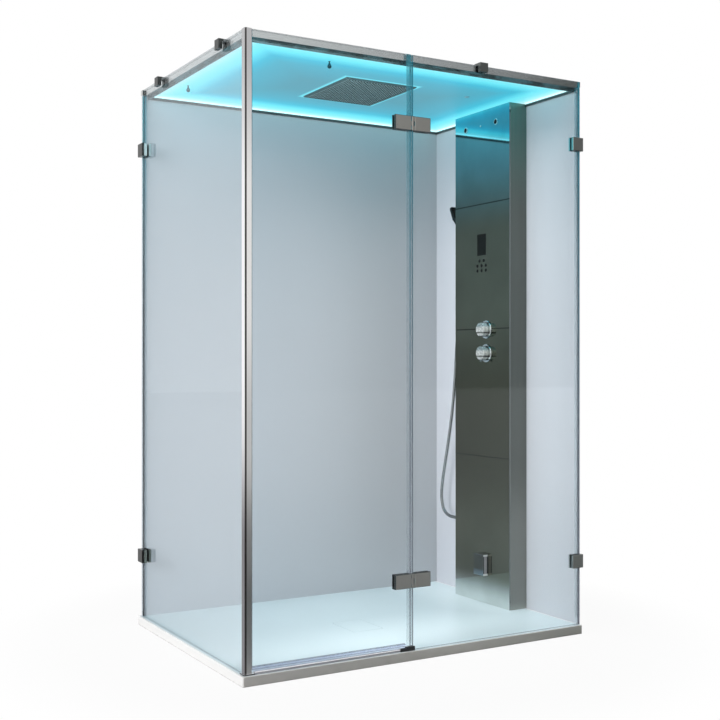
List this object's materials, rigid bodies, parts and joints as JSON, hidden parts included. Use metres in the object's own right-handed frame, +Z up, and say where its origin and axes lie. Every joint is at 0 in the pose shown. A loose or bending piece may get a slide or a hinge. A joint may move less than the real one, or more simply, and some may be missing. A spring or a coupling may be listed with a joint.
{
  "type": "steam shower cabin",
  "caption": "Rectangular steam shower cabin with glass walls on a low tray, hinged door, lit ceiling with rain head, and a mirrored service column.",
  "frame": {"origin": "centre of the tray's underside, on the floor", "axes": "+X right along the front, +Y from the front to the back wall, +Z up"},
  "size_m": [1.416, 1, 2.1115],
  "materials": {
    "tray_white": "satin white cast tray",
    "chrome": "polished",
    "aluminium_rail": "bright anodised",
    "wall_panel": "smooth pale blue-grey",
    "dark_trim": "dark anodised",
    "ceiling_white": "satin",
    "roof_sheet": "white coated sheet",
    "light_strip": "lit diffuser",
    "dark_steel": "dark polished plate",
    "grey_plastic": "moulded",
    "grey_rubber": "soft nozzles",
    "brushed_steel": "brushed",
    "clear_glass": "clear toughened, polished edges",
    "clear_seal": "clear flexible strip",
    "dark_mirror": "smoked mirror",
    "display_black": "black window",
    "brass": "cast",
    "chrome_hose": "spiral wound",
    "key_black": "gloss"
  },
  "bodies": {
    "cabin": {"back_rail": "aluminium_rail", "back_wall_panel": "wall_panel", "cable_gland": "grey_plastic", "ceiling_cap": "ceiling_white", "ceiling_jets": "chrome", "ceiling_panel": "ceiling_white", "column_face": "dark_mirror", "column_housing": "brushed_steel", "column_lamps": "chrome", "control_unit": "grey_plastic", "corner_post": "chrome", "display_window": "display_black", "front_glass": "clear_glass", "front_glass_seals": "clear_seal", "front_rail": "aluminium_rail", "handset_holder": "chrome", "hinge_fixed_leaves": "chrome", "hinge_pins": "brushed_steel", "hose_outlet": "chrome", "inlet_unions": "brass", "left_glass": "clear_glass", "left_glass_seals": "clear_seal", "left_rail": "aluminium_rail", "light_strips": "light_strip", "post_foot": "chrome", "rain_head_housing": "grey_plastic", "rain_head_plate": "dark_steel", "rain_nozzles": "grey_rubber", "rain_supply_pipe": "brushed_steel", "right_rail": "aluminium_rail", "right_wall_panel": "wall_panel", "roof_cover": "roof_sheet", "shower_hose": "chrome_hose", "shower_tray": "tray_white", "steam_generator": "brushed_steel", "steam_outlet": "chrome", "steam_pipe": "brushed_steel", "threshold_bar": "aluminium_rail", "top_clips": "chrome", "valve_block": "brass", "valve_escutcheons": "chrome", "wall_clamps": "chrome", "wall_trim": "dark_trim", "waste_body": "grey_plastic"},
    "door": {"door_glass": "clear_glass", "hinge_door_leaves": "chrome", "door_edge_seals": "clear_seal", "door_bottom_seal": "clear_seal"},
    "thermostat": {"thermostat_knob": "chrome"},
    "diverter": {"diverter_knob": "chrome"},
    "handset": {"hand_shower": "chrome"},
    "drain_lid": {"drain_cover": "tray_white"},
    "button_1": {"key_1": "key_black"},
    "button_2": {"key_2": "key_black"},
    "button_3": {"key_3": "key_black"},
    "button_4": {"key_4": "key_black"},
    "button_5": {"key_5": "key_black"},
    "button_6": {"key_6": "key_black"},
    "button_7": {"key_7": "key_black"},
    "button_8": {"key_8": "key_black"}
  },
  "joints": [
    {"name": "door_swing", "type": "hinge", "parent": "cabin", "child": "door", "pos_m": [-0.056, -0.4885, 1.06], "axis": [0, 0, 1], "range_deg": [0, 90]},
    {"name": "thermostat_turn", "type": "hinge", "parent": "cabin", "child": "thermostat", "pos_m": [0.614, -0.01, 1.159], "axis": [-1, 0, 0], "range_deg": [-135, 135]},
    {"name": "diverter_turn", "type": "hinge", "parent": "cabin", "child": "diverter", "pos_m": [0.614, -0.01, 1.062], "axis": [-1, 0, 0], "range_deg": [-90, 90]},
    {"name": "handset_lift", "type": "slide", "parent": "cabin", "child": "handset", "axis": [0, 0, 1], "range_m": [0, 0.06]},
    {"name": "drain_cover_lift", "type": "slide", "parent": "cabin", "child": "drain_lid", "axis": [0, 0, 1], "range_m": [0, 0.03]},
    {"name": "key_1_press", "type": "slide", "parent": "cabin", "child": "button_1", "axis": [1, 0, 0], "range_m": [0, 0.001], "stiffness_N_per_m": 400, "springref_m": -0.0005},
    {"name": "key_2_press", "type": "slide", "parent": "cabin", "child": "button_2", "axis": [1, 0, 0], "range_m": [0, 0.001], "stiffness_N_per_m": 400, "springref_m": -0.0005},
    {"name": "key_3_press", "type": "slide", "parent": "cabin", "child": "button_3", "axis": [1, 0, 0], "range_m": [0, 0.001], "stiffness_N_per_m": 400, "springref_m": -0.0005},
    {"name": "key_4_press", "type": "slide", "parent": "cabin", "child": "button_4", "axis": [1, 0, 0], "range_m": [0, 0.001], "stiffness_N_per_m": 400, "springref_m": -0.0005},
    {"name": "key_5_press", "type": "slide", "parent": "cabin", "child": "button_5", "axis": [1, 0, 0], "range_m": [0, 0.001], "stiffness_N_per_m": 400, "springref_m": -0.0005},
    {"name": "key_6_press", "type": "slide", "parent": "cabin", "child": "button_6", "axis": [1, 0, 0], "range_m": [0, 0.001], "stiffness_N_per_m": 400, "springref_m": -0.0005},
    {"name": "key_7_press", "type": "slide", "parent": "cabin", "child": "button_7", "axis": [1, 0, 0], "range_m": [0, 0.001], "stiffness_N_per_m": 400, "springref_m": -0.0005},
    {"name": "key_8_press", "type": "slide", "parent": "cabin", "child": "button_8", "axis": [1, 0, 0], "range_m": [0, 0.001], "stiffness_N_per_m": 400, "springref_m": -0.0005}
  ]
}
